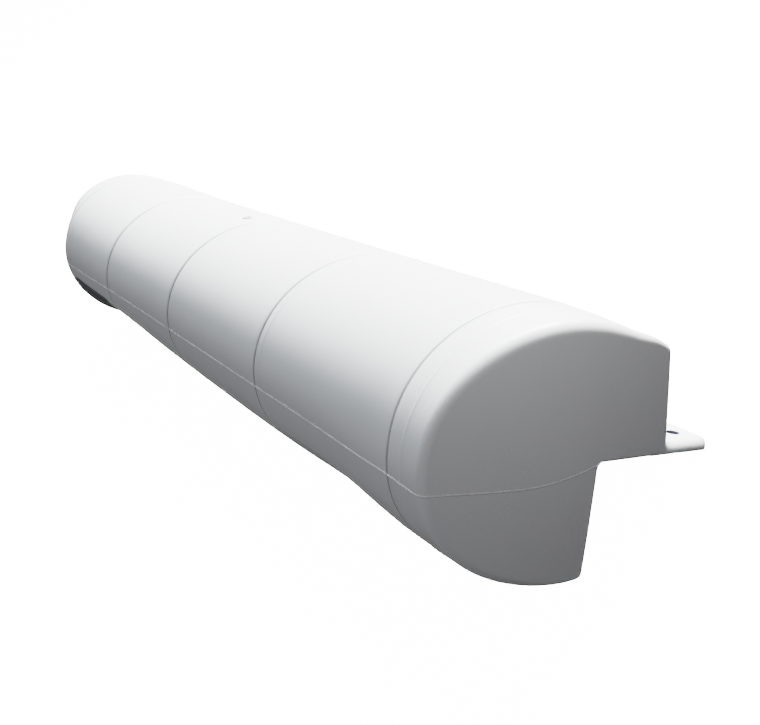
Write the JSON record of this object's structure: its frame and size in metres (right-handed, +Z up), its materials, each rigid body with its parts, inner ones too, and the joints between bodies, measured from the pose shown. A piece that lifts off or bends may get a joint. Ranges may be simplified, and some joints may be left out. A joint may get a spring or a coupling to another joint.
{
  "type": "dock fender",
  "caption": "Three-quarter round moulded dock fender with ring grooves, a bolt-down flange and an air valve; its open quarter takes the edge of a dock.",
  "frame": {"origin": "middle of the part's box, on the floor it lies on", "axes": "+X along the length, away from the end with the hollow in its side; +Y towards the flange; +Z up from the floor"},
  "size_m": [1, 0.2106, 0.1888],
  "materials": {
    "white_vinyl": "smooth satin soft vinyl, moulded, with a fine parting line",
    "valve_plastic": "smooth satin plastic"
  },
  "bodies": {
    "root": {"fender_body": "white_vinyl", "air_valve": "valve_plastic"}
  },
  "joints": []
}
